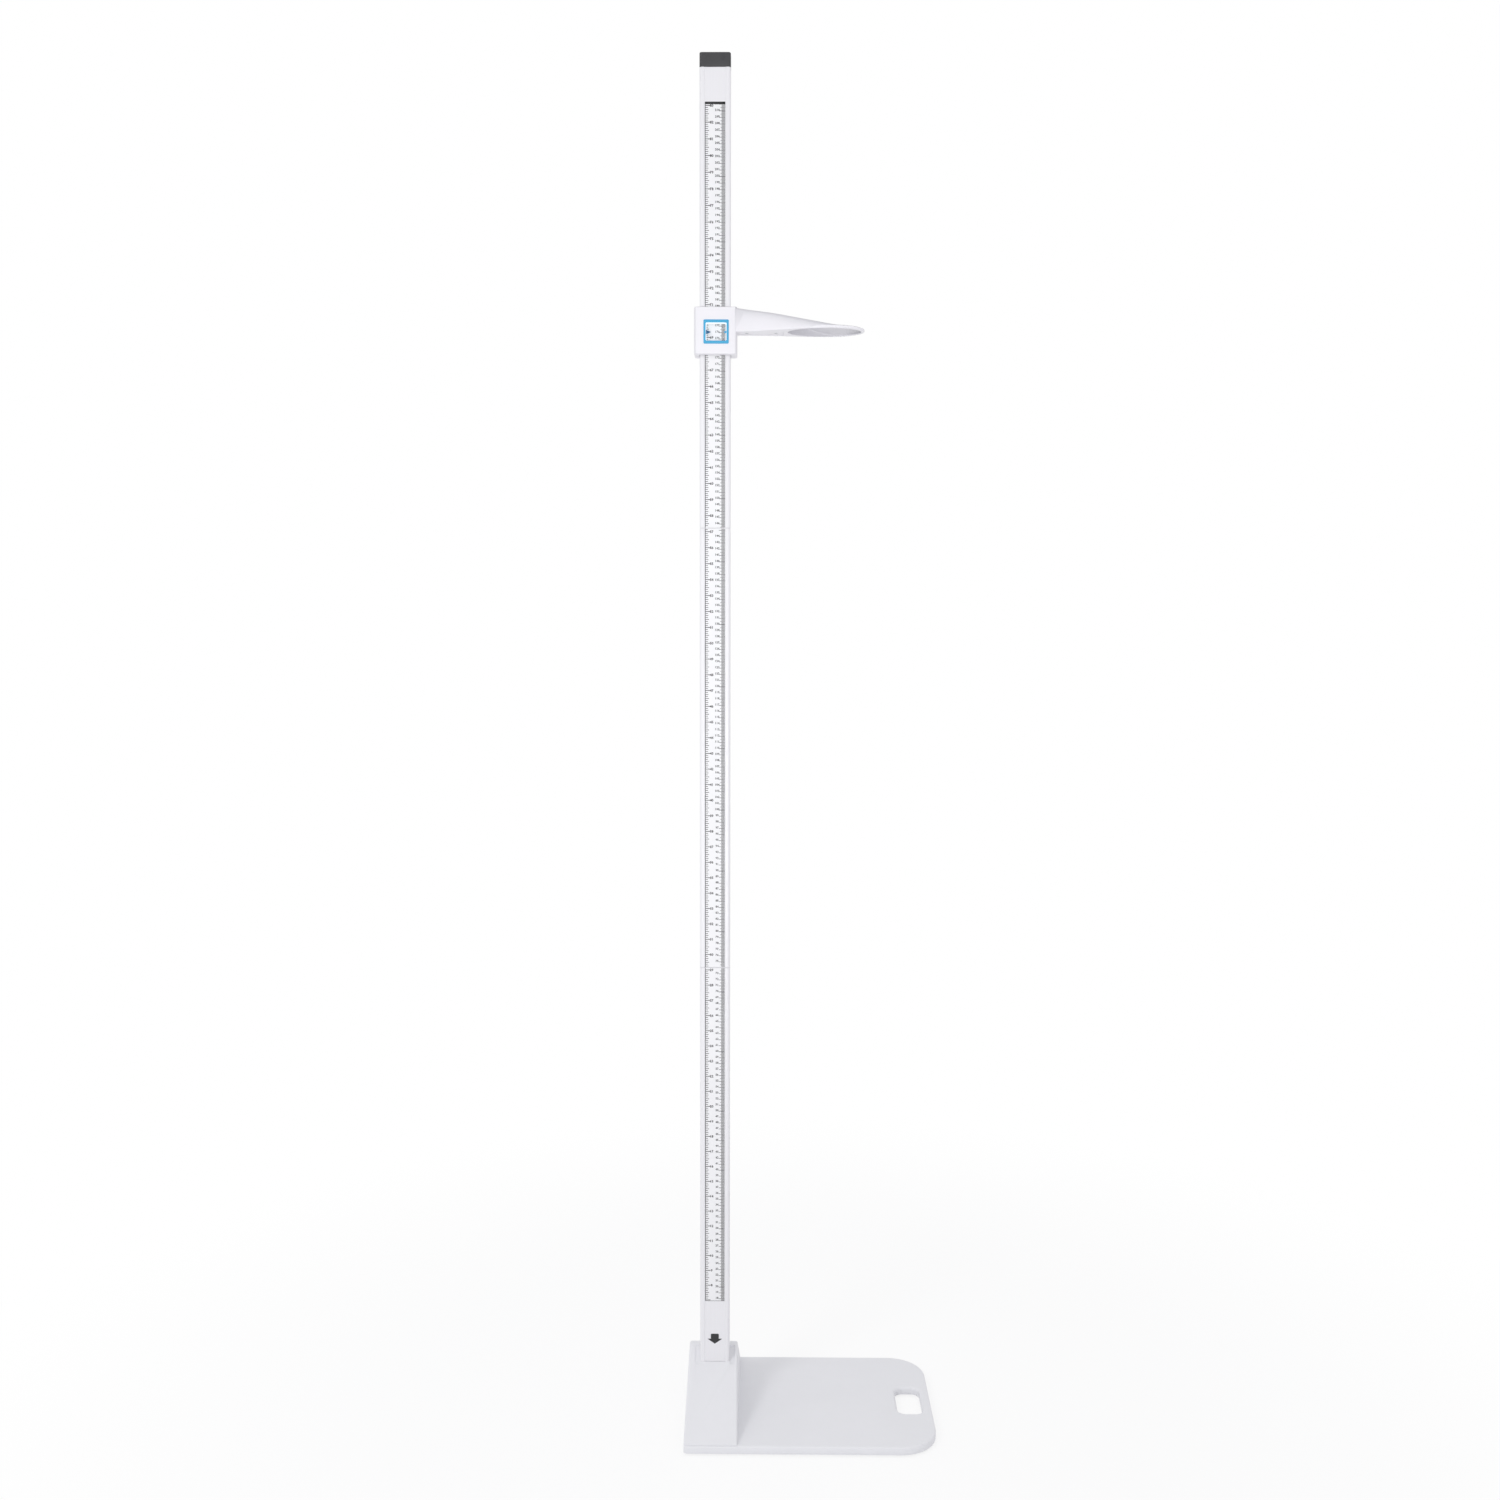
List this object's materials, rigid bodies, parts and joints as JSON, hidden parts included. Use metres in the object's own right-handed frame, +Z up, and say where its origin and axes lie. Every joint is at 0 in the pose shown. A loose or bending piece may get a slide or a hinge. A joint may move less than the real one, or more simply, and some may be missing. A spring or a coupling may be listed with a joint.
{
  "type": "stadiometer",
  "caption": "Free-standing height gauge: flat platform with a handle opening, plug-together column with a scale, and a sliding headpiece with a reading window and a measuring arm.",
  "frame": {"origin": "on the floor under the middle of the platform", "axes": "+X along the platform to its free end, away from the column; -Y is the side that shows the scale; +Z up along the column"},
  "size_m": [0.407, 0.294, 2.2051],
  "materials": {
    "white_moulding": "satin",
    "headpiece_moulding": "satin",
    "column_aluminium": "satin",
    "scale_film": "satin",
    "black_film": "satin",
    "black_plastic": "satin",
    "blue_plastic": "gloss",
    "clear_window": "gloss",
    "joiner_plastic": "satin",
    "bush_plastic": "satin",
    "brake_felt": "matte",
    "foot_rubber": "matte",
    "zinc_plated_steel": "satin"
  },
  "bodies": {
    "base": {"base_platform": "white_moulding", "underplate": "zinc_plated_steel", "column_holder": "white_moulding", "column_socket": "zinc_plated_steel", "foot_1": "foot_rubber", "foot_2": "foot_rubber", "foot_3": "foot_rubber", "foot_4": "foot_rubber", "foot_screw_1": "zinc_plated_steel", "foot_screw_2": "zinc_plated_steel", "foot_screw_3": "zinc_plated_steel", "foot_screw_4": "zinc_plated_steel", "socket_screw_1": "zinc_plated_steel", "socket_screw_2": "zinc_plated_steel", "socket_screw_3": "zinc_plated_steel", "socket_screw_4": "zinc_plated_steel", "holder_screw_1": "zinc_plated_steel", "holder_screw_2": "zinc_plated_steel", "holder_screw_3": "zinc_plated_steel", "holder_screw_4": "zinc_plated_steel"},
    "lower_column": {"lower_section": "column_aluminium", "lower_scale_strip": "scale_film", "arrow_label": "black_film", "column_foot": "black_plastic", "column_foot_screw_1": "zinc_plated_steel", "column_foot_screw_2": "zinc_plated_steel", "lower_joiner": "joiner_plastic", "lower_joiner_screw_1": "zinc_plated_steel", "lower_joiner_screw_2": "zinc_plated_steel"},
    "middle_column": {"middle_section": "column_aluminium", "middle_scale_strip": "scale_film", "upper_joiner": "joiner_plastic", "upper_joiner_screw_1": "zinc_plated_steel", "upper_joiner_screw_2": "zinc_plated_steel"},
    "upper_column": {"upper_section": "column_aluminium", "upper_scale_strip": "scale_film", "top_cap": "black_plastic"},
    "headpiece": {"headpiece_front_shell": "headpiece_moulding", "headpiece_rear_cover": "headpiece_moulding", "neck_cover": "headpiece_moulding", "neck_cover_screw_1": "zinc_plated_steel", "neck_cover_screw_2": "zinc_plated_steel", "window_frame": "blue_plastic", "window_lens": "clear_window", "upper_slide_bush": "bush_plastic", "lower_slide_bush": "bush_plastic", "brake_pad": "brake_felt", "brake_spring": "zinc_plated_steel", "housing_screw_1": "zinc_plated_steel", "housing_screw_2": "zinc_plated_steel", "housing_screw_3": "zinc_plated_steel", "housing_screw_4": "zinc_plated_steel"}
  },
  "joints": [
    {"name": "column_lift", "type": "slide", "parent": "base", "child": "lower_column", "axis": [0, 0, 1], "range_m": [0, 0.09]},
    {"name": "middle_section_lift", "type": "slide", "parent": "lower_column", "child": "middle_column", "axis": [0, 0, 1], "range_m": [0, 0.06]},
    {"name": "upper_section_lift", "type": "slide", "parent": "middle_column", "child": "upper_column", "axis": [0, 0, 1], "range_m": [0, 0.06]},
    {"name": "headpiece_slide", "type": "slide", "parent": "upper_column", "child": "headpiece", "axis": [0, 0, 1], "range_m": [-1.635, 0.365]}
  ]
}
